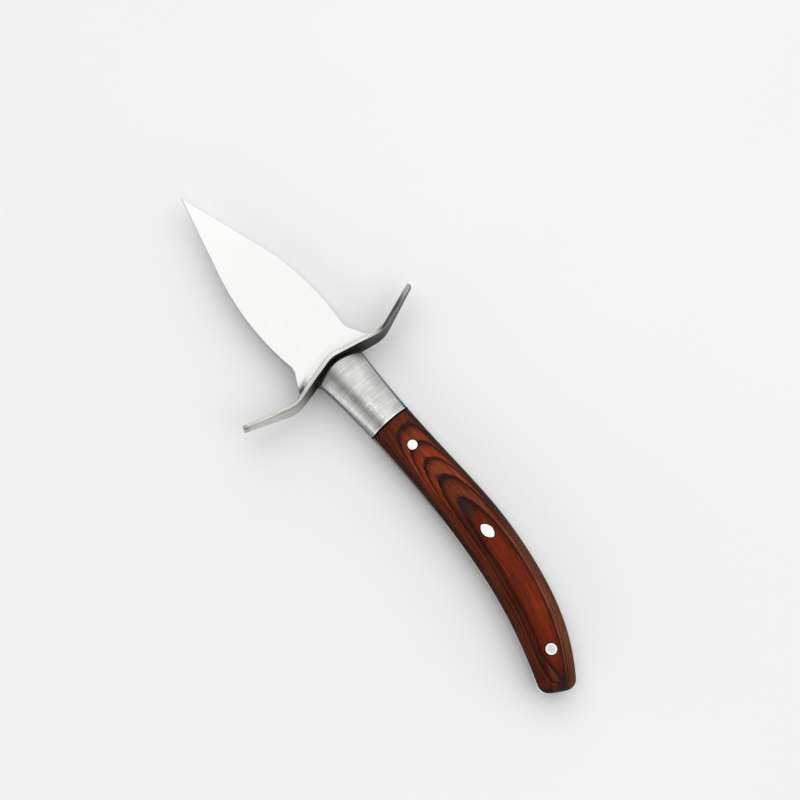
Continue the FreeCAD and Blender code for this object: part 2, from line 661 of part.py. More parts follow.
front_bolster_pin = dowel("front_bolster_pin", FRONT_DOWEL)
rear_bolster_pin = dowel("rear_bolster_pin", REAR_DOWEL)
front_rod = rod("front_rod", "front_pin", FRONT_PIN)
front_pin = sub_part("Part::Common", "front_pin", Base=front_rod, Tool=handle)
rear_rod = rod("rear_rod", "rear_pin", REAR_PIN)
rear_pin = sub_part("Part::Common", "rear_pin", Base=rear_rod, Tool=handle)
upper_head = peened_head("upper_head")
middle_rod = sub_part("Part::MultiFuse", "middle_rod", Shapes=[
    rod("middle_shank", "middle_pin", MIDDLE_PIN),
    upper_head,
    below("lower_head", upper_head),
])
middle_pin = sub_part("Part::Common", "middle_pin", Base=middle_rod, Tool=handle)

SUB_PARTS = [
    blade, guard, upper_bolster, lower_bolster, front_bolster_pin, rear_bolster_pin,
    upper_scale, lower_scale, front_pin, middle_pin, rear_pin,
]

doc.recompute()
for feature in doc.Objects:
    if "Invalid" in feature.State or "Error" in feature.State:
        raise RuntimeError(f"{feature.Label} failed: {feature.State}")
for feature in SUB_PARTS:
    if feature.Shape.isNull() or not feature.Shape.isValid() or len(feature.Shape.Solids) != 1:
        raise RuntimeError(f"{feature.Label} isn't one valid solid")

os.makedirs("parts", exist_ok=True)
for feature in SUB_PARTS:
    feature.Shape.exportStep(f"parts/{feature.Label}.step")
    print(f"{feature.Label}: {feature.Shape.Volume:.1f} cubic millimetres, {len(feature.Shape.Faces)} faces")
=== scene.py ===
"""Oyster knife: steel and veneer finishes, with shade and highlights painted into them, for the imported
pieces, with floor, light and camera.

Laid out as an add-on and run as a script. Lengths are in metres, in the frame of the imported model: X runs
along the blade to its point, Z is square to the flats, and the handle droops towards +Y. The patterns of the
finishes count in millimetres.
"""

import math

import bmesh
import bpy
from bpy.props import FloatProperty, FloatVectorProperty, PointerProperty
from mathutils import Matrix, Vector


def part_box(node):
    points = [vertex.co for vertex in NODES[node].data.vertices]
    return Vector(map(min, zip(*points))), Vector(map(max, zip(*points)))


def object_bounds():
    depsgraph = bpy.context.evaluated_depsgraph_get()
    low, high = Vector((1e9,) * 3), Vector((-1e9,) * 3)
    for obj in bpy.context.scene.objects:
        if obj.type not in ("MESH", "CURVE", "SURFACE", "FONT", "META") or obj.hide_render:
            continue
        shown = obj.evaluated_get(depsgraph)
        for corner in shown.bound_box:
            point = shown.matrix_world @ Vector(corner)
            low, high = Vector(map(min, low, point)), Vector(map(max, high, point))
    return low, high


bl_info = {
    "name": "Oyster Knife",
    "version": (1, 0, 0),
    "blender": (4, 5, 0),
    "location": "View3D > Sidebar > Oyster Knife",
    "description": "Finishes, floor, light and camera of an oyster knife",
    "category": "Object",
}

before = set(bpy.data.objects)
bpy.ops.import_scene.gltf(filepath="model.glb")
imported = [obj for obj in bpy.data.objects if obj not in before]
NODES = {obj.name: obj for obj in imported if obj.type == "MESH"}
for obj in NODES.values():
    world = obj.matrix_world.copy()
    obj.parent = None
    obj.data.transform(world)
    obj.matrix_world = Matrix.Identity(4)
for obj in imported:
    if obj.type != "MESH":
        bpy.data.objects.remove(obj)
CAD_LOW, CAD_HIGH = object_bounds()
MILLIMETRES = 1000.0

# Ends of the bolsters and of the wood along the knife
BOLSTER_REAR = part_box("upper_bolster")[0].x * MILLIMETRES
WOOD_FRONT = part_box("upper_scale")[1].x * MILLIMETRES

# Edge of soft oval patches, by the share of their reach. As in every fade below, the four numbers are the
# start and end of a range and the values there.
PATCH_EDGE = (0.15, 1.0, 1.0, 0.0)

# Marks of grinding and smudges on all steel
FINE_MARKS = {"detail": 4.0, "roughness": 0.65}
DEEP_MARKS = {"detail": 3.0, "roughness": 0.7}
DEEP_STRETCH = 0.31
SCRATCHES = (0.58, 0.72, 0.0, 1.0)
SMUDGE_NOISE = {"scale": (0.11, 0.13, 0.13), "detail": 3.0, "roughness": 0.6}
SMUDGES = (0.35, 0.68, 0.0, 1.0)
STREAK_RANGE = (0.25, 0.75)
STREAK_ROUGHNESS = 0.06
SMUDGE_ROUGHNESS = 0.05
STEEL_RELIEF = 0.00004
# Tone below which steel turns from bare metal into a matt black non-metal, used for the darkest painted
# shade, and the gloss of that painted shade
BARE_METAL = (0.10, 0.45, 0.0, 1.0)
SHADE_SHEET_GLOSS = 0.0

# Lumps per millimetre of the grinding along each axis, strength of its streaks and depth of its bumps
SATIN = {"stretch": (0.06, 1.6, 1.6), "contrast": 0.025, "depth": 0.05}
GROUND = {"stretch": (1.5, 0.04, 1.0), "contrast": 0.40, "depth": 0.20}
BRUSHED = {"stretch": (5.0, 0.12, 0.12), "contrast": 0.24, "depth": 0.35}
FILED = {"stretch": (1.6, 0.7, 0.7), "contrast": 0.08, "depth": 0.20}

# Slopes of the guard's arms and wings, the distance from the axis where it bends, and its reach
ARM_SLOPE = 0.242
WING_SLOPE = 0.36
GUARD_BEND = 15.45
GUARD_REACH = 60.0

# Where the tang starts, the tone of the blade along the knife, and painted shade by the distance from the
# guard's front: beside the guard, in one shoulder's corner and in the gap behind the guard
TANG_START = (-4.4, -4.0, 1.0, 0.0)
BLADE_POINT = (28.0, 62.0, 0.97, 1.02)
BLADE_SHOULDER_SHADE = (0.9, 4.0, 0.90, 1.0)
CORNER_PAINTED_SHADE = (1.0, 3.2, 0.10, 1.0)
CORNER_SHADE_SIDE = (7.0, 12.5, 1.0, 0.0)
GUARD_GAP_SHADE = (-1.05, -0.85, 0.05, 1.0)
# Painted shade on the tang's edge towards the bolsters and underneath, and a painted highlight at its butt
# end, along it and by height; painted shade on the blade's rim by facing, and on the tang in the gap beside
# the wood
TANG_EDGE_SHADE = (-62.0, -46.0, 0.65, 0.25)
TANG_END_HIGHLIGHT = (-106.0, -98.0, 1.7, 1.0)
TANG_UNDERSIDE_SHADE = (-1.15, -0.75, 0.30, 1.0)
BLADE_RIM_SHADE = (0.35, 0.75, 0.45, 1.0)
TANG_JOINT_SHADE = (0.20, 0.35, 0.05, 1.0)

# Painted shade and painted dark reflection on the guard's back face, as tones from the convex side's wing to
# the other, and the facing of that face
GUARD_BACK_SHADE = (
    (0.0, 0.24), (0.32, 0.15), (0.37, 0.05), (0.63, 0.05),
    (0.665, 0.20), (0.71, 0.36), (0.78, 0.75), (0.86, 0.95),
)
BACK_FACING = (-0.75, -0.45, 1.0, 0.0)
# Painted dark reflection on the upper edge of the wing on the convex side
WING_DARK_REFLECTION = (-17.0, -12.0, 1.0, 0.0)
WING_REFLECTION_TIP = (-30.0, -24.0, 0.50, 1.0)
UPPER_FACING = (0.80, 0.95, 0.0, 1.0)
WING_REFLECTION_DARKENING = 0.86
# Tones by the distance from the axis: both arms, the middle and the tip of the other wing
GUARD_ARM = (12.0, 18.0, 0.84, 0.96)
GUARD_MIDDLE = (1.0, 6.0, 1.20, 1.0)
GUARD_TIP = (28.6, 30.0, 1.0, 0.60)

# Tones of the bolsters: a painted highlight along the rear end, a tone at the nose along the knife, and by
# facing a painted dark side, a painted highlight on the ridge and painted shade on the wall and in a band
REAR_PAINTED_HIGHLIGHT = (0.20, 0.40, 1.45, 1.0)
NOSE = (-8.0, -3.5, 1.0, 0.84)
SIDE_PAINTED_SHADE = (-0.80, -0.68, 0.03, 1.0)
RIDGE_HIGHLIGHT_RISE = (0.56, 0.65, 0.0, 0.32)
RIDGE_HIGHLIGHT_FALL = (0.68, 0.75, 1.0, 0.0)
WALL_SHADE_TOP = (0.69, 0.77, 1.0, 0.55)
WALL_SHADE_FOOT = (0.94, 0.99, 1.0, 0.45)
SHADE_BAND_RISE = (0.12, 0.28, 0.0, -0.09)
SHADE_BAND_FALL = (0.40, 0.54, 1.0, 0.0)
# Rubbed flecks on the bolsters: their place from the rear end and across, and their reach
RUBBED_PLACE = (4.6, 0.6)
RUBBED_REACH = (6.0, 2.4)
FLECK_NOISE = {"scale": (3.0, 2.6, 2.6), "detail": 2.0, "roughness": 0.6}
FLECKS = (0.50, 0.62, 0.0, 0.90)
CLOUD_NOISE = {"scale": (0.22, 0.30, 0.30), "detail": 3.0}
CLOUDS = (0.30, 0.70, 0.92, 1.08)

# Greyer middle of the rear pin, by the distance from its axis
REAR_PIN_MIDDLE = (0.9, 1.25, 0.72, 1.0)
# Length, width and turn of the middle pin's peened head
PEENED_LENGTH = 4.7
PEENED_WIDTH = 3.0
PEENED_TURN = -5.0
# Painted shade in a ring in the wood round each pin, by the distance from a pin's side
PIN_RING_SHADE = (0.15, 0.5, 0.25, 1.0)

# Units of the place along the scales, counted from their middle, and of the place across them
ALONG_UNIT = 40.0
ACROSS_UNIT = 6.0
# Fitted line of the handle's middle: its droop by powers of the place along the scales, from the fourth down
HANDLE_MIDDLE = (-0.37, 2.53, 4.66, 4.03, 1.68)
# Fitted bend of the veneers: for each power of the place across the handle, its own powers along it
VENEER_BEND = (
    (0.11, 0.34, 0.43, 0.25, 0.01),
    (0.55, -0.40, -0.43, 0.36),
    (-0.14, 0.19, -0.34, 1.69),
    (0.24, 0.47, -0.23),
)
# Dip of the veneers next to the butt, along and across
BUTT_DIP = (0.80, 1.14, -0.09, 0.46)
BUTT_DIP_START = (0.1, 0.6, 0.0, 1.0)
BUTT_DIP_SIDE = (-0.55, 0.25, 0.0, 1.0)
# Waves of the veneers and their height in millimetres
SLOW_WAVES = {"scale": (0.07, 0.16, 0.16)}
SLOW_HEIGHT = 0.10
QUICK_WAVES = {"scale": (0.35, 1.4, 1.4), "detail": 3.0, "roughness": 0.6}
QUICK_HEIGHT = 0.04
NOISE_MIDDLE = 0.5

# Veneers from the tang up: the count at which each starts, and its colour
VENEER_COLOURS = (
    (-12, (0.036, 0.008, 0.004)),
    (-8, (0.048, 0.010, 0.004)),
    (-6, (0.060, 0.012, 0.005)),
    (-5, (0.044, 0.010, 0.005)),
    (-4, (0.064, 0.014, 0.006)),
    (-3, (0.052, 0.012, 0.006)),
    (-2, (0.074, 0.016, 0.007)),
    (-1, (0.112, 0.021, 0.008)),
    (0, (0.212, 0.036, 0.013)),
    (1, (0.225, 0.033, 0.010)),
    (2, (0.228, 0.040, 0.014)),
    (3, (0.156, 0.032, 0.013)),
    (4, (0.172, 0.020, 0.005)),
)
LOWEST_VENEER = -12
TOP_VENEER = 4.6
VENEER_COUNT = 17
# Dyed line through the thickness of one veneer, from its lower face up
DYE_LINE = ((0.0, 1.0), (0.16, 0.95), (0.34, 0.45), (0.60, 0.08), (0.80, 0.0), (0.93, 0.0), (1.0, 0.9))
DYE_STRENGTH = (-1.5, 0.5, 0.55, 0.95)
# Counts at which the innermost band starts and the field ends it
BAND_START = (2.9, 3.1, 0.0, 1.0)
FIELD_START = (3.9, 4.1, 1.0, 0.0)
# Tan veneers on the convex side, and on the concave side a darker inner band, fainter dye lines and painted
# shade, across and along
TAN_SIDE = (-0.76, -0.32, 0.92, 0.0)
TAN_START = (-0.05, 0.2, 0.0, 1.0)
CONCAVE_SIDE = (0.10, 0.42, 0.0, 1.0)
CONCAVE_START = (-0.55, -0.25, 0.0, 1.0)
CONCAVE_LINES = 0.28
CONCAVE_PAINTED_SHADE = 0.48
# Fainter lines on the convex side, across and along
FAINT_SIDE = (-0.95, -0.70, 0.45, 1.0)
FAINT_START = (0.0, 0.3, 1.0, 0.0)
# Dark places at the ends of veneers: place along and across, reach each way and strength
DARK_HEARTS = (
    ((-0.48, -0.03), (0.06, 0.26), 0.80),
    ((-0.215, -0.03), (0.14, 0.32), 0.90),
    ((1.105, -0.10), (0.080, 0.55), 0.94),
    ((1.10, 0.45), (0.10, 0.20), 0.80),
)
# Grain, pores and clouds of the wood and the tones that they give
GRAIN_NOISE = {"scale": (0.10, 1.4, 1.4), "detail": 5.0, "roughness": 0.65}
GRAIN = (0.30, 0.70, 0.70, 1.28)
PORE_NOISE = {"scale": (0.55, 4.2, 4.2), "detail": 3.0}
PORES = (0.30, 0.50, 0.70, 1.05)
WOOD_CLOUD_NOISE = {"scale": (0.08, 0.30, 0.30), "detail": 3.0}
WOOD_CLOUDS = (0.30, 0.70, 0.82, 1.18)
# Darker butt and front edge on the convex side, and painted shade at the joint next to the bolsters and on
# the convex flank
DARK_BUTT = (0.80, 1.08, 1.0, 0.80)
FRONT_EDGE = (-1.10, -0.75, 0.50, 1.0)
FRONT_EDGE_END = (-0.45, 0.20, 0.0, 1.0)
WOOD_JOINT_SHADE = (-0.45, -0.20, 1.0, 0.12)
CONVEX_FLANK_SHADE = (-0.88, -0.52, 0.36, 1.0)
GRAIN_ROUGHNESS = 0.10
PORE_DEPTH = 0.25
PORE_RELIEF = 0.00005
WOOD_GLOSS = 0.05

# Angles of the light panels in degrees, from overhead towards the droop's side
TOP_PANEL = (-55.0, 21.0)
BACK_PANEL = (-85.0, -55.0)
FILL_PANEL = (48.0, 88.0)
FLOOR_NOISE = {"scale": (0.004, 0.004, 0.004), "detail": 3.0}
FLOOR_MOTTLE = (0.3, 0.7, 0.985, 1.015)
FLOOR_ROUGHNESS = 0.9
FLOOR_GLOSS = 0.1
NEAREST_VIEW = 0.01


def colour_property(name, description, default):
    """A colour that the sidebar shows."""
    return FloatVectorProperty(
        name=name, description=description, default=default, subtype="COLOR", size=3, min=0.0, max=1.0
    )


def share_property(name, description, default):
    """A value between nothing and all."""
    return FloatProperty(
        name=name, description=description, default=default, min=0.0, max=1.0, subtype="FACTOR"
    )


def angle_property(name, description, degrees):
    """An angle, given here in degrees."""
    return FloatProperty(name=name, description=description, default=math.radians(degrees), subtype="ANGLE")


def length_property(name, description, default):
    """A length in metres."""
    return FloatProperty(name=name, description=description, default=default, unit="LENGTH")


def level_property(name, description, default):
    """The brightness of a light panel."""
    return FloatProperty(name=name, description=description, default=default, min=0.0)


class KnifeFinish(bpy.types.PropertyGroup):
    """Colours and finishes of the knife."""

    blade_colour: colour_property("Blade", "Satin steel of blade and tang", (0.80, 0.80, 0.79))
    guard_colour: colour_property("Guard", "Steel of the guard", (0.68, 0.678, 0.638))
    bolster_colour: colour_property("Bolsters", "Brushed steel of the bolsters", (0.62, 0.62, 0.605))
    pin_colour: colour_property("Pins", "Steel of the handle pins", (0.80, 0.80, 0.79))
    tan_colour: colour_property("Outer veneers", "Tan veneers on the convex side", (0.164, 0.050, 0.022))
    band_colour: colour_property("Inner band", "Veneer beside the field", (0.140, 0.029, 0.012))
    dye_colour: colour_property("Dye line", "Dark dyed line between two veneers", (0.015, 0.006, 0.004))
    heart_colour: colour_property("Dark ends", "Grey where a veneer runs out", (0.024, 0.014, 0.012))
    blade_roughness: share_property("Blade roughness", "Satin of the blade", 0.30)
    guard_roughness: share_property("Guard roughness", "Polish of the guard", 0.22)
    bolster_roughness: share_property("Bolster roughness", "Brushing of the bolsters", 0.37)
    pin_roughness: share_property("Pin roughness", "Filing of the pins", 0.30)
    wood_roughness: share_property("Wood roughness", "Satin of the handle", 0.42)
    veneer_step: FloatProperty(
        name="Veneer", description="Thickness of one veneer, in millimetres", default=0.30, min=0.1, max=2.0
    )
    first_line: FloatProperty(
        name="First line", description="Height of the line nearest to the bolsters, in millimetres",
        default=4.62,
    )


class KnifeStage(bpy.types.PropertyGroup):
    """Floor, light and camera."""

    floor_colour: colour_property("Floor", "Plain pale floor", (0.955, 0.955, 0.96))
    room_colour: colour_property("Room", "Light of the room between the panels", (0.225, 0.225, 0.228))
    floor_size: length_property("Floor size", "Side of the floor", 30.0)
    panel_distance: length_property("Panel distance", "Panels to knife", 3.0)
    panel_length: length_property("Panel length", "Light panels, along the knife", 12.0)
    top_level: level_property("Top light", "Brightness of the panel overhead", 1.02)
    back_level: level_property("Back light", "Brightness of the panel behind", 0.70)
    fill_level: level_property("Fill light", "Brightness of the panel in front", 0.68)
    camera_elevation: angle_property("Camera height", "Angle above the flats", 77.5)
    camera_azimuth: angle_property("Camera side", "Angle round the knife", 138.0)
    camera_distance: length_property("Camera distance", "Camera to target", 0.611)
    camera_target: FloatVectorProperty(
        name="Target", description="Point in the middle of the picture", default=(-0.0215, -0.00687, 0.0),
        unit="LENGTH",
    )
    camera_lens: FloatProperty(name="Lens", description="Focal length", default=100.0, unit="CAMERA")


def feed(tree, socket, value):
    """Link a socket, or set its value."""
    if isinstance(value, bpy.types.NodeSocket):
        tree.links.new(value, socket)
    else:
        socket.default_value = value


def add_node(tree, kind, inputs=None, **settings):
    """A node with its settings made and its inputs fed."""
    node = tree.nodes.new(kind)
    for name, value in settings.items():
        setattr(node, name, value)
    for name, value in (inputs or {}).items():
        feed(tree, node.inputs[name], value)
    return node


def reckon(tree, operation, *values):
    """The result of one step of arithmetic."""
    node = add_node(tree, "ShaderNodeMath", operation=operation)
    for socket, value in zip(node.inputs, values):
        feed(tree, socket, value)
    return node.outputs["Value"]


def product(tree, *values):
    """Several values multiplied."""
    result = values[0]
    for value in values[1:]:
        result = reckon(tree, "MULTIPLY", result, value)
    return result


def polynomial(tree, variable, powers):
    """A polynomial of a value, its powers given from the highest down to a constant."""
    result = powers[0]
    for power in powers[1:]:
        result = reckon(tree, "MULTIPLY_ADD", result, variable, power)
    return result


def scaled(tree, vector, factor):
    """A vector or colour times a value."""
    node = add_node(tree, "ShaderNodeVectorMath", operation="SCALE")
    feed(tree, node.inputs[0], vector)
    feed(tree, node.inputs["Scale"], factor)
    return node.outputs["Vector"]


def axes_of(tree, vector):
    """The three parts of a vector."""
    return add_node(tree, "ShaderNodeSeparateXYZ", {"Vector": vector}).outputs


def vector_of(tree, along, across, height=0.0):
    """A vector from its three parts."""
    node = add_node(tree, "ShaderNodeCombineXYZ", {"X": along, "Y": across, "Z": height})
    return node.outputs["Vector"]


def colour_ramp(tree, value, stops, interpolation="LINEAR"):
    """A colour ramp with the given places and colours."""
    node = add_node(tree, "ShaderNodeValToRGB", {"Fac": value})
    node.color_ramp.interpolation = interpolation
    elements = node.color_ramp.elements
    while len(elements) < len(stops):
        elements.new(1.0)
    for element, (place, colour) in zip(elements, stops):
        element.position = place
        element.color = (*colour, 1.0)
    return node.outputs["Color"]


def level_ramp(tree, value, stops):
    """A ramp of plain values, held as greys."""
    return colour_ramp(tree, value, [(place, (level, level, level)) for place, level in stops])


def blend(tree, factor, first, second):
    """A colour mixed with a plain one by a factor."""
    node = add_node(tree, "ShaderNodeMix", data_type="RGBA")
    feed(tree, node.inputs["Factor"], factor)
    feed(tree, node.inputs[6], first)
    feed(tree, node.inputs[7], (*second, 1.0))
    return node.outputs[2]


def between(tree, value, fade):
    """A value led along a fade, smooth at both ends."""
    low, high, low_out, high_out = fade
    node = add_node(tree, "ShaderNodeMapRange", {
        "Value": value, "From Min": low, "From Max": high, "To Min": low_out, "To Max": high_out,
    }, interpolation_type="SMOOTHSTEP")
    return node.outputs["Result"]


def moved(fade, offset):
    """A fade whose range starts further on."""
    low, high, low_out, high_out = fade
    return (low + offset, high + offset, low_out, high_out)


def facing_of(tree):
    """The three parts of the direction in which the surface faces."""
    return axes_of(tree, add_node(tree, "ShaderNodeNewGeometry").outputs["Normal"])


def patch(tree, along, across, middle, reach):
    """A soft oval patch: all in its middle, nothing beyond its reach."""
    offsets = []
    for value, centre, size in zip((along, across), middle, reach):
        offsets.append(reckon(tree, "DIVIDE", reckon(tree, "SUBTRACT", value, centre), size))
    length = add_node(tree, "ShaderNodeVectorMath", operation="LENGTH")
    feed(tree, length.inputs[0], vector_of(tree, *offsets))
    return between(tree, length.outputs["Value"], PATCH_EDGE)


def pin_middle(name):
    """Where a pin's axis stands, in millimetres."""
    low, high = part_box(name)
    middle = (low + high) * (MILLIMETRES / 2)
    return middle.x, middle.y


def pin_radius(name):
    """Half the thickness of a round pin, in millimetres."""
    low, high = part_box(name)
    return (high.y - low.y) * (MILLIMETRES / 2)


def distance_from(tree, axes, centre):
    """Distance from an axis square to the flats."""
    node = add_node(tree, "ShaderNodeVectorMath", operation="DISTANCE")
    feed(tree, node.inputs[0], vector_of(tree, axes["X"], axes["Y"]))
    feed(tree, node.inputs[1], (*centre, 0.0))
    return node.outputs["Value"]


def from_peened_head(tree, axes):
    """Distance from the rim of the middle pin's lemon-shaped head, which two round sides make."""
    curve = (PEENED_LENGTH ** 2 + PEENED_WIDTH ** 2) / (4 * PEENED_WIDTH)
    offset = curve - PEENED_WIDTH / 2
    turn = math.radians(PEENED_TURN)
    along, across = pin_middle("middle_pin")
    sides = []
    for sign in (1, -1):
        centre = (along + sign * offset * math.sin(turn), across + sign * offset * math.cos(turn))
        sides.append(distance_from(tree, axes, centre))
    return reckon(tree, "SUBTRACT", reckon(tree, "MAXIMUM", *sides), curve)


def place_on_piece(tree):
    """Places on the piece in millimetres, in the frame of the knife."""
    coordinates = add_node(tree, "ShaderNodeTexCoord")
    return scaled(tree, coordinates.outputs["Object"], MILLIMETRES)


def noise(tree, place, scale, detail=2.0, roughness=0.5):
    """Noise with its own count of lumps per millimetre along each axis."""
    mapping = add_node(tree, "ShaderNodeMapping", {"Vector": place, "Scale": scale})
    node = add_node(tree, "ShaderNodeTexNoise", {
        "Vector": mapping.outputs["Vector"], "Scale": 1.0, "Detail": detail, "Roughness": roughness,
    })
    return node.outputs["Fac"]


def start_group(name, inputs, outputs):
    """An empty shader group with named sockets, and its two end nodes."""
    tree = bpy.data.node_groups.new(name, "ShaderNodeTree")
    for kind, label in inputs:
        tree.interface.new_socket(name=label, in_out="INPUT", socket_type=kind)
    for kind, label in outputs:
        tree.interface.new_socket(name=label, in_out="OUTPUT", socket_type=kind)
    return tree, tree.nodes.new("NodeGroupInput"), tree.nodes.new("NodeGroupOutput")


def brush_group():
    """Marks of grinding: long fine streaks and a few deeper ones, shared by all steel."""
    known = bpy.data.node_groups.get("Brush marks")
    if known:
        return known
    tree, start, end = start_group(
        "Brush marks",
        [("NodeSocketVector", "Place"), ("NodeSocketVector", "Stretch")],
        [("NodeSocketFloat", "Streaks"), ("NodeSocketFloat", "Scratches")],
    )
    place = start.outputs["Place"]
    stretch = start.outputs["Stretch"]
    fine = noise(tree, place, stretch, **FINE_MARKS)
    deep = noise(tree, place, scaled(tree, stretch, DEEP_STRETCH), **DEEP_MARKS)
    feed(tree, end.inputs["Streaks"], fine)
    feed(tree, end.inputs["Scratches"], between(tree, deep, SCRATCHES))
    return tree


def smudge_group():
    """Soft patches left by hands and by polishing, shared by all steel."""
    known = bpy.data.node_groups.get("Smudges")
    if known:
        return known
    tree, start, end = start_group(
        "Smudges", [("NodeSocketVector", "Place")], [("NodeSocketFloat", "Patches")]
    )
    broad = noise(tree, start.outputs["Place"], **SMUDGE_NOISE)
    feed(tree, end.inputs["Patches"], between(tree, broad, SMUDGES))
    return tree


def start_material(name):
    """A new material with only its shader and its output, and the places that its patterns use."""
    material = bpy.data.materials.new(name)
    material.use_nodes = True
    tree = material.node_tree
    tree.nodes.clear()
    shader = add_node(tree, "ShaderNodeBsdfPrincipled")
    end = add_node(tree, "ShaderNodeOutputMaterial")
    tree.links.new(shader.outputs["BSDF"], end.inputs["Surface"])
    return material, tree, shader, place_on_piece(tree)


def bump(tree, height, strength, distance):
    """A normal from a height; the distance is in metres."""
    node = add_node(tree, "ShaderNodeBump", {"Strength": strength, "Distance": distance, "Height": height})
    return node.outputs["Normal"]


def steel_material(name, colour, roughness, wear_and_painted_light, stretch, contrast, depth, unbend=None):
    """Ground steel with streaks in its colour, roughness and normal.

    The tone function gives the tone of places marked by use, of painted shade and of painted highlights; the
    darkest painted shade turns from bare metal into a matt black non-metal.
    Unbend straightens the places along a bent strip.
    """
    material, tree, shader, place = start_material(name)
    brush = add_node(tree, "ShaderNodeGroup", node_tree=brush_group())
    feed(tree, brush.inputs["Place"], unbend(tree, place) if unbend else place)
    feed(tree, brush.inputs["Stretch"], stretch)
    smudge = add_node(tree, "ShaderNodeGroup", node_tree=smudge_group())
    feed(tree, smudge.inputs["Place"], place)
    streaks = brush.outputs["Streaks"]
    scratches = brush.outputs["Scratches"]
    patches = smudge.outputs["Patches"]
    tone = between(tree, streaks, (*STREAK_RANGE, 1.0 - contrast, 1.0 + contrast / 2))
    tone = reckon(tree, "MULTIPLY_ADD", scratches, -contrast / 2, tone)
    wear_and_light_tone = wear_and_painted_light(tree, place)
    rough = reckon(tree, "MULTIPLY_ADD", patches, SMUDGE_ROUGHNESS, roughness - SMUDGE_ROUGHNESS)
    rough = reckon(tree, "MULTIPLY_ADD", streaks, STREAK_ROUGHNESS, rough)
    height = reckon(tree, "SUBTRACT", streaks, scratches)
    shader.inputs["Specular IOR Level"].default_value = SHADE_SHEET_GLOSS
    # The darkest painted shade is no metal but a matt black sheet
    feed(tree, shader.inputs["Metallic"], between(tree, wear_and_light_tone, BARE_METAL))
    feed(tree, shader.inputs["Base Color"], scaled(tree, colour, product(tree, tone, wear_and_light_tone)))
    feed(tree, shader.inputs["Roughness"], rough)
    feed(tree, shader.inputs["Normal"], bump(tree, height, depth, STEEL_RELIEF))
    return material


def before_guard(tree, axes):
    """How far a place lies in front of the line of the guard's bent front face; behind it is negative."""
    side = reckon(tree, "ABSOLUTE", axes["Y"])
    arm = reckon(tree, "MULTIPLY", reckon(tree, "MINIMUM", side, GUARD_BEND), ARM_SLOPE)
    wing = reckon(tree, "MAXIMUM", reckon(tree, "SUBTRACT", side, GUARD_BEND), 0.0)
    swept = reckon(tree, "MULTIPLY_ADD", wing, -WING_SLOPE, arm)
    return reckon(tree, "ADD", axes["X"], swept)


def blade_tone_and_painted_light(tree, place):
    """A brighter point; painted shade next to the guard, in the gaps at the guard and at the wood, in one
    shoulder's corner and on the blade's rims; the tang's edge painted dark in front and underneath, with a
    painted highlight at the butt end.
    """
    axes = axes_of(tree, place)
    front = before_guard(tree, axes)
    inside = between(tree, axes["X"], TANG_START)
    outside = reckon(tree, "SUBTRACT", 1.0, inside)
    corner_side = between(tree, axes["Y"], CORNER_SHADE_SIDE)
    # Tang's edge painted dark towards the bolsters and painted bright at the butt end
    edge = product(tree, between(tree, axes["X"], TANG_EDGE_SHADE), between(tree, axes["X"], TANG_END_HIGHLIGHT))
    flat = reckon(tree, "ABSOLUTE", facing_of(tree)["Z"])
    # Painted shade on the tang in the gap between the bolsters and the wood
    joint = (WOOD_FRONT + BOLSTER_REAR) / 2
    from_joint = reckon(tree, "ABSOLUTE", reckon(tree, "SUBTRACT", axes["X"], joint))
    # Painted shade beside the guard, in one shoulder's corner, in the gap behind the guard and on the rims
    blade_tones = (
        between(tree, front, BLADE_SHOULDER_SHADE),
        reckon(tree, "MAXIMUM", between(tree, front, CORNER_PAINTED_SHADE), corner_side),
        between(tree, front, GUARD_GAP_SHADE),
        between(tree, flat, BLADE_RIM_SHADE),
    )
    # Tang's edge painted dark underneath as shade
    tang_tones = (edge, between(tree, axes["Z"], TANG_UNDERSIDE_SHADE))
    tones = [between(tree, axes["X"], BLADE_POINT), between(tree, from_joint, TANG_JOINT_SHADE)]
    tones += [reckon(tree, "MAXIMUM", tone, inside) for tone in blade_tones]
    tones += [reckon(tree, "MAXIMUM", tone, outside) for tone in tang_tones]
    return product(tree, *tones)


def along_guard(tree, place):
    """Places along the guard as if its strip were straight."""
    axes = axes_of(tree, place)
    return vector_of(tree, before_guard(tree, axes), axes["Y"], axes["Z"])


def guard_tone_and_painted_light(tree, place):
    """A back face painted dark, as shade next to the bolsters and as a dark reflection along one arm, and
    that arm's wing with a painted dark reflection on its upper edge.
    """
    axes = axes_of(tree, place)
    facing = facing_of(tree)
    share = reckon(tree, "MULTIPLY_ADD", axes["Y"], 1 / GUARD_REACH, 0.5)
    # Back face painted dark: shade next to the bolsters, a dark reflection along the convex side's arm
    face = level_ramp(tree, share, GUARD_BACK_SHADE)
    back = between(tree, facing["X"], BACK_FACING)
    dark = reckon(tree, "MULTIPLY_ADD", back, reckon(tree, "SUBTRACT", face, 1.0), 1.0)
    # Painted dark reflection on the upper edge of the convex side's wing
    wing = product(tree, between(tree, axes["Y"], WING_DARK_REFLECTION), between(tree, axes["Y"], WING_REFLECTION_TIP))
    upper = between(tree, reckon(tree, "ABSOLUTE", facing["Z"]), UPPER_FACING)
    wing_reflection = reckon(tree, "MULTIPLY_ADD", product(tree, wing, upper), -WING_REFLECTION_DARKENING, 1.0)
    side = reckon(tree, "ABSOLUTE", axes["Y"])
    arm = between(tree, side, GUARD_ARM)
    middle = between(tree, side, GUARD_MIDDLE)
    tip = between(tree, axes["Y"], GUARD_TIP)
    return product(tree, dark, wing_reflection, arm, middle, tip)


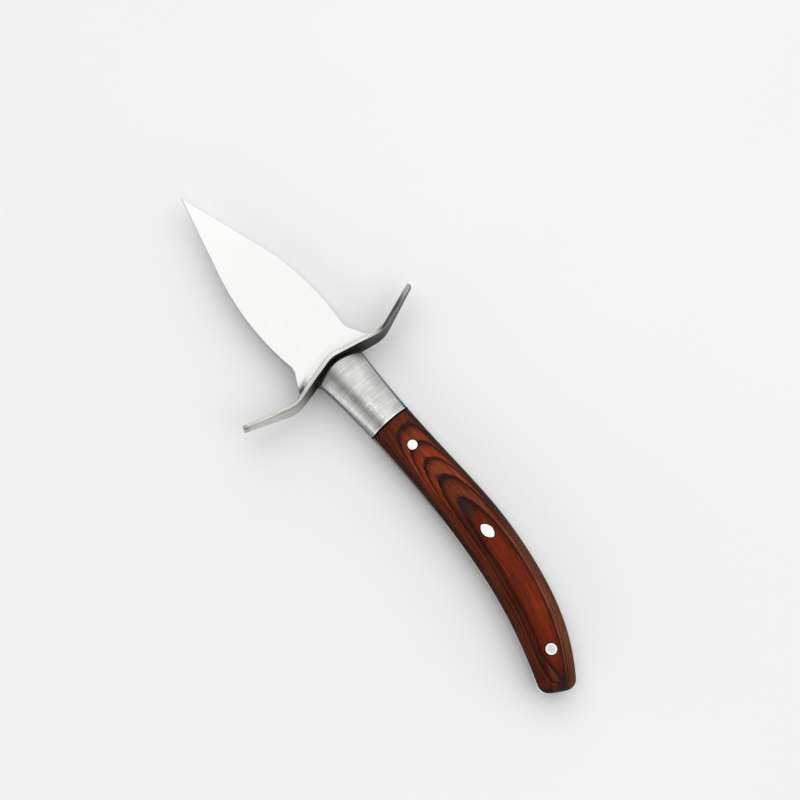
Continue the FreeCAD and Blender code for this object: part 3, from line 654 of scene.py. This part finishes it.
def bolster_wear_and_painted_light(tree, place):
    """A painted highlight on the edge next to the wood and on the ridge, painted shade on one side, on the
    wall and in a band, and rubbed places on top.
    """
    axes = axes_of(tree, place)
    facing = facing_of(tree)["Y"]
    # Painted highlight on the ridge, painted shade in a band and on the wall, all by facing
    ridge = product(tree, between(tree, facing, RIDGE_HIGHLIGHT_RISE), between(tree, facing, RIDGE_HIGHLIGHT_FALL))
    band = product(tree, between(tree, facing, SHADE_BAND_RISE), between(tree, facing, SHADE_BAND_FALL))
    wall = product(tree, between(tree, facing, WALL_SHADE_TOP), between(tree, facing, WALL_SHADE_FOOT))
    rubbed_place = (BOLSTER_REAR + RUBBED_PLACE[0], RUBBED_PLACE[1])
    rubbed = patch(tree, axes["X"], axes["Y"], rubbed_place, RUBBED_REACH)
    flecks = between(tree, noise(tree, place, **FLECK_NOISE), FLECKS)
    return product(
        tree,
        # Painted highlight along the rear end, painted shade on the side facing away from the droop
        between(tree, axes["X"], moved(REAR_PAINTED_HIGHLIGHT, BOLSTER_REAR)),
        between(tree, facing, SIDE_PAINTED_SHADE),
        reckon(tree, "ADD", ridge, 1.0),
        reckon(tree, "ADD", band, 1.0),
        wall,
        between(tree, axes["X"], NOSE),
        reckon(tree, "MULTIPLY_ADD", rubbed, flecks, 1.0),
        between(tree, noise(tree, place, **CLOUD_NOISE), CLOUDS),
    )


def pin_wear(tree, place):
    """A greyer middle on the rear pin."""
    reach = distance_from(tree, axes_of(tree, place), pin_middle("rear_pin"))
    return between(tree, reach, REAR_PIN_MIDDLE)


def place_on_scale(tree, axes):
    """Places along and across the curved handle, in units of its scales."""
    along = reckon(tree, "MULTIPLY_ADD", axes["X"], -1 / ALONG_UNIT, WOOD_FRONT / ALONG_UNIT - 1)
    middle = polynomial(tree, along, HANDLE_MIDDLE)
    across = reckon(tree, "DIVIDE", reckon(tree, "SUBTRACT", axes["Y"], middle), ACROSS_UNIT)
    return along, across


def veneer_count(tree, place, height, along, across, finish):
    """How many veneers lie below a place on the bent and wavy sheets."""
    bend = polynomial(tree, across, [polynomial(tree, along, powers) for powers in reversed(VENEER_BEND)])
    dip = product(
        tree,
        between(tree, along, BUTT_DIP),
        between(tree, along, BUTT_DIP_START),
        between(tree, across, BUTT_DIP_SIDE),
    )
    level = reckon(tree, "SUBTRACT", reckon(tree, "ADD", reckon(tree, "ABSOLUTE", height), bend), dip)
    for waves, size in ((SLOW_WAVES, SLOW_HEIGHT), (QUICK_WAVES, QUICK_HEIGHT)):
        wave = reckon(tree, "SUBTRACT", noise(tree, place, **waves), NOISE_MIDDLE)
        level = reckon(tree, "MULTIPLY_ADD", wave, size, level)
    count = reckon(tree, "DIVIDE", reckon(tree, "SUBTRACT", level, finish.first_line), finish.veneer_step)
    return reckon(tree, "MINIMUM", count, TOP_VENEER)


def veneer_colour(tree, count, along, across, concave, finish):
    """Colour of the veneers with their dyed lines and dark ends."""
    share = reckon(tree, "DIVIDE", reckon(tree, "SUBTRACT", count, LOWEST_VENEER), VENEER_COUNT)
    stops = [((start - LOWEST_VENEER) / VENEER_COUNT, colour) for start, colour in VENEER_COLOURS]
    colour = colour_ramp(tree, share, stops, "CONSTANT")
    below_field = between(tree, count, FIELD_START)
    tan = product(tree, between(tree, across, TAN_SIDE), between(tree, along, TAN_START), below_field)
    colour = blend(tree, tan, colour, finish.tan_colour)
    inner = product(tree, concave, between(tree, count, BAND_START), below_field)
    colour = blend(tree, inner, colour, finish.band_colour)
    faint = reckon(tree, "MAXIMUM", between(tree, across, FAINT_SIDE), between(tree, along, FAINT_START))
    line = product(
        tree,
        level_ramp(tree, reckon(tree, "FRACT", count), DYE_LINE),
        between(tree, count, DYE_STRENGTH),
        reckon(tree, "MULTIPLY_ADD", concave, -CONCAVE_LINES, 1.0),
        faint,
    )
    colour = blend(tree, line, colour, finish.dye_colour)
    for middle, reach, strength in DARK_HEARTS:
        heart = product(tree, patch(tree, along, across, middle, reach), strength)
        colour = blend(tree, heart, colour, finish.heart_colour)
    return colour


def veneer_material(finish):
    """Red-brown dyed veneers, dark lines between them, fine grain and a matt satin varnish, with painted
    shade on the concave side, on the convex flank, at the joint and round the pins.
    """
    material, tree, shader, place = start_material("Dyed veneers")
    axes = axes_of(tree, place)
    along, across = place_on_scale(tree, axes)
    count = veneer_count(tree, place, axes["Z"], along, across, finish)
    concave = product(tree, between(tree, across, CONCAVE_SIDE), between(tree, along, CONCAVE_START))
    colour = veneer_colour(tree, count, along, across, concave, finish)
    run = vector_of(tree, product(tree, along, ALONG_UNIT), product(tree, across, ACROSS_UNIT), axes["Z"])
    grain = noise(tree, run, **GRAIN_NOISE)
    pores = noise(tree, run, **PORE_NOISE)
    front_edge = between(tree, across, FRONT_EDGE)
    tones = [
        between(tree, grain, GRAIN),
        between(tree, pores, PORES),
        between(tree, noise(tree, run, **WOOD_CLOUD_NOISE), WOOD_CLOUDS),
        # Painted shade on the concave side
        reckon(tree, "MULTIPLY_ADD", concave, -CONCAVE_PAINTED_SHADE, 1.0),
        between(tree, along, DARK_BUTT),
        reckon(tree, "MAXIMUM", front_edge, between(tree, along, FRONT_EDGE_END)),
        # Painted shade at the joint next to the bolsters, on the convex flank and round the middle pin
        between(tree, axes["X"], moved(WOOD_JOINT_SHADE, WOOD_FRONT)),
        between(tree, facing_of(tree)["Y"], CONVEX_FLANK_SHADE),
        between(tree, from_peened_head(tree, axes), PIN_RING_SHADE),
    ]
    # Painted shade in a ring round the round pins
    for name in ("front_pin", "rear_pin"):
        reach = distance_from(tree, axes, pin_middle(name))
        tones.append(between(tree, reach, moved(PIN_RING_SHADE, pin_radius(name))))
    smooth = finish.wood_roughness - GRAIN_ROUGHNESS / 2
    feed(tree, shader.inputs["Base Color"], scaled(tree, colour, product(tree, *tones)))
    feed(tree, shader.inputs["Roughness"], reckon(tree, "MULTIPLY_ADD", grain, GRAIN_ROUGHNESS, smooth))
    feed(tree, shader.inputs["Normal"], bump(tree, pores, PORE_DEPTH, PORE_RELIEF))
    shader.inputs["Specular IOR Level"].default_value = WOOD_GLOSS
    return material


def dress(material, *names):
    """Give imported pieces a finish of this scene."""
    for name in names:
        NODES[name].material_slots[0].material = material


class OYSTERKNIFE_OT_blade(bpy.types.Operator):
    """Satin finish of the blade and its tang, with painted shade and highlights"""

    bl_idname = "oyster_knife.blade"
    bl_label = "Blade"

    def execute(self, context):
        finish = context.scene.oyster_knife_finish
        satin = steel_material(
            "Satin steel", finish.blade_colour, finish.blade_roughness, blade_tone_and_painted_light, **SATIN
        )
        dress(satin, "blade")
        return {"FINISHED"}


class OYSTERKNIFE_OT_guard(bpy.types.Operator):
    """Ground finish of the bent guard, with painted shade and dark reflections"""

    bl_idname = "oyster_knife.guard"
    bl_label = "Guard"

    def execute(self, context):
        finish = context.scene.oyster_knife_finish
        ground = steel_material(
            "Ground strip", finish.guard_colour, finish.guard_roughness, guard_tone_and_painted_light, **GROUND,
            unbend=along_guard,
        )
        dress(ground, "guard")
        return {"FINISHED"}


class OYSTERKNIFE_OT_bolsters(bpy.types.Operator):
    """Both bolsters, brushed across the handle, with painted shade and highlights"""

    bl_idname = "oyster_knife.bolsters"
    bl_label = "Bolsters"

    def execute(self, context):
        finish = context.scene.oyster_knife_finish
        brushed = steel_material(
            "Brushed steel", finish.bolster_colour, finish.bolster_roughness, bolster_wear_and_painted_light, **BRUSHED
        )
        dress(brushed, "upper_bolster", "lower_bolster")
        return {"FINISHED"}


class OYSTERKNIFE_OT_scales(bpy.types.Operator):
    """Both handle scales of dyed veneers, with painted shade"""

    bl_idname = "oyster_knife.scales"
    bl_label = "Scales"

    def execute(self, context):
        dress(veneer_material(context.scene.oyster_knife_finish), "upper_scale", "lower_scale")
        return {"FINISHED"}


class OYSTERKNIFE_OT_pins(bpy.types.Operator):
    """Handle pins and the hidden bolster pins"""

    bl_idname = "oyster_knife.pins"
    bl_label = "Pins"

    def execute(self, context):
        finish = context.scene.oyster_knife_finish
        filed = steel_material("Filed pins", finish.pin_colour, finish.pin_roughness, pin_wear, **FILED)
        dress(filed, "front_pin", "middle_pin", "rear_pin", "front_bolster_pin", "rear_bolster_pin")
        return {"FINISHED"}


def direction(elevation, azimuth):
    """Unit vector at an angle above the floor and round the knife."""
    flat = math.cos(elevation)
    return Vector((flat * math.cos(azimuth), flat * math.sin(azimuth), math.sin(elevation)))


def aim(item, target):
    """Turn a lamp or camera towards a point."""
    item.rotation_euler = (target - item.location).to_track_quat("-Z", "Y").to_euler()


class OYSTERKNIFE_OT_stage(bpy.types.Operator):
    """Pale floor, soft light and the camera of the photograph's view"""

    bl_idname = "oyster_knife.stage"
    bl_label = "Stage"

    def execute(self, context):
        stage = context.scene.oyster_knife_stage
        self.add_floor(context, stage)
        self.add_panel(context, "top panel", stage, stage.top_level, TOP_PANEL)
        self.add_panel(context, "back panel", stage, stage.back_level, BACK_PANEL)
        self.add_panel(context, "fill panel", stage, stage.fill_level, FILL_PANEL)
        world = bpy.data.worlds.new("room")
        world.use_nodes = True
        world.node_tree.nodes["Background"].inputs["Color"].default_value = (*stage.room_colour, 1.0)
        context.scene.world = world
        self.add_camera(context, stage)
        context.scene.view_settings.view_transform = "Standard"
        return {"FINISHED"}

    def add_floor(self, context, stage):
        """A plain floor that the knife lies on."""
        mesh = bpy.data.meshes.new("floor")
        shape = bmesh.new()
        bmesh.ops.create_grid(shape, x_segments=1, y_segments=1, size=stage.floor_size / 2)
        bmesh.ops.translate(shape, verts=shape.verts, vec=(0.0, 0.0, CAD_LOW.z))
        shape.to_mesh(mesh)
        shape.free()
        floor = bpy.data.objects.new("floor", mesh)
        context.scene.collection.objects.link(floor)
        material, tree, shader, place = start_material("Pale floor")
        mottle = between(tree, noise(tree, place, **FLOOR_NOISE), FLOOR_MOTTLE)
        feed(tree, shader.inputs["Base Color"], scaled(tree, stage.floor_colour, mottle))
        shader.inputs["Roughness"].default_value = FLOOR_ROUGHNESS
        shader.inputs["Specular IOR Level"].default_value = FLOOR_GLOSS
        mesh.materials.append(material)

    def add_panel(self, context, name, stage, level, angles):
        """A light panel along the knife, between two angles from overhead."""
        start, end = (math.radians(angle) for angle in angles)
        middle = (start + end) / 2
        width = 2 * stage.panel_distance * math.tan((end - start) / 2)
        lamp = bpy.data.lights.new(name, "AREA")
        lamp.shape = "RECTANGLE"
        lamp.size = stage.panel_length
        lamp.size_y = width
        lamp.energy = level * math.pi * stage.panel_length * width
        panel = bpy.data.objects.new(name, lamp)
        panel.location = Vector((0.0, math.sin(middle), math.cos(middle))) * stage.panel_distance
        aim(panel, Vector((0.0, 0.0, 0.0)))
        context.scene.collection.objects.link(panel)

    def add_camera(self, context, stage):
        """The camera at the photograph's angle."""
        data = bpy.data.cameras.new("camera")
        data.lens = stage.camera_lens
        data.clip_start = NEAREST_VIEW
        camera = bpy.data.objects.new("camera", data)
        target = Vector(stage.camera_target)
        offset = direction(stage.camera_elevation, stage.camera_azimuth) * stage.camera_distance
        camera.location = target + offset
        aim(camera, target)
        context.scene.collection.objects.link(camera)
        context.scene.camera = camera


class OYSTERKNIFE_PT_panel(bpy.types.Panel):
    """Finishes and stage of the oyster knife"""

    bl_idname = "OYSTERKNIFE_PT_panel"
    bl_label = "Oyster Knife"
    bl_space_type = "VIEW_3D"
    bl_region_type = "UI"
    bl_category = "Oyster Knife"

    def draw(self, context):
        for settings in (context.scene.oyster_knife_finish, context.scene.oyster_knife_stage):
            column = self.layout.column()
            for name in settings.__annotations__:
                column.prop(settings, name)
        for operator in PIECES:
            self.layout.operator(operator.bl_idname)


PIECES = (
    OYSTERKNIFE_OT_blade,
    OYSTERKNIFE_OT_guard,
    OYSTERKNIFE_OT_bolsters,
    OYSTERKNIFE_OT_scales,
    OYSTERKNIFE_OT_pins,
    OYSTERKNIFE_OT_stage,
)
CLASSES = (KnifeFinish, KnifeStage, *PIECES, OYSTERKNIFE_PT_panel)


def register():
    """Make the knife's settings, operators and panel known."""
    for item in CLASSES:
        bpy.utils.register_class(item)
    bpy.types.Scene.oyster_knife_finish = PointerProperty(type=KnifeFinish)
    bpy.types.Scene.oyster_knife_stage = PointerProperty(type=KnifeStage)


def unregister():
    """Take them out again."""
    del bpy.types.Scene.oyster_knife_stage
    del bpy.types.Scene.oyster_knife_finish
    for item in reversed(CLASSES):
        bpy.utils.unregister_class(item)


def main():
    """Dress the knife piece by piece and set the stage."""
    register()
    bpy.ops.oyster_knife.blade()
    bpy.ops.oyster_knife.guard()
    bpy.ops.oyster_knife.bolsters()
    bpy.ops.oyster_knife.scales()
    bpy.ops.oyster_knife.pins()
    bpy.ops.oyster_knife.stage()


if __name__ == "__main__":
    main()
